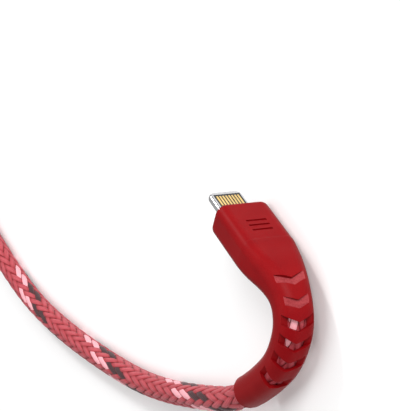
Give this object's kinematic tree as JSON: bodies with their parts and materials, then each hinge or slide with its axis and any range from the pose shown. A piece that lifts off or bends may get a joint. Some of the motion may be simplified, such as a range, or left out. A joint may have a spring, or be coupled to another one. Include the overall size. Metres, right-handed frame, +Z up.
{
  "type": "charging cable",
  "caption": "Braided charging cable with a reversible phone plug in a bent chevron relief boot, a tied coil and a flat host plug.",
  "frame": {"origin": "middle of the narrow flat side that the phone plug's housing rests on, on the table", "axes": "+X is the way the cord leaves the phone plug, +Y is out of the plug's wide outer face, +Z is up from the table"},
  "size_m": [0.2316, 0.1101, 0.0128],
  "materials": {
    "boot_red": "soft-touch satin moulding",
    "braid_red": "woven braid sleeve",
    "strap_black": "hook-and-loop strap",
    "plated_steel": "bright nickel plate",
    "gold_contact": "gold flash",
    "black_plastic": "glass-filled moulding",
    "circuit_board": "solder resist",
    "chip_black": "moulded package",
    "inner_mould_plastic": "natural polyethylene",
    "inner_jacket": "extruded jacket",
    "wire_red": "extruded insulation",
    "wire_black": "extruded insulation",
    "wire_green": "extruded insulation",
    "wire_white": "extruded insulation"
  },
  "bodies": {
    "root": {"tab_frame": "plated_steel", "tab_insulator": "black_plastic", "contact_pads_outer": "gold_contact", "contact_pads_inner": "gold_contact", "plug_board": "circuit_board", "authentication_chip": "chip_black", "board_capacitors": "chip_black", "shield_can_outer": "plated_steel", "shield_can_inner": "plated_steel", "inner_mould": "inner_mould_plastic", "crimp_ferrule": "plated_steel", "inner_jacket_end": "inner_jacket", "power_wire": "wire_red", "ground_wire": "wire_black", "data_wire_plus": "wire_green", "data_wire_minus": "wire_white", "plug_boot": "boot_red", "relief_cord": "braid_red", "cord_run": "braid_red", "cord_coil": "braid_red", "cord_tail": "braid_red", "cable_tie": "strap_black", "host_shell": "plated_steel", "host_tongue": "black_plastic", "host_contacts": "gold_contact", "host_board": "circuit_board", "host_resistors": "chip_black", "host_inner_mould": "inner_mould_plastic", "host_ferrule": "plated_steel", "host_jacket_end": "inner_jacket", "host_power_wire": "wire_red", "host_ground_wire": "wire_black", "host_data_wire_plus": "wire_green", "host_data_wire_minus": "wire_white", "host_boot": "boot_red", "host_relief_cord": "braid_red"}
  },
  "joints": []
}
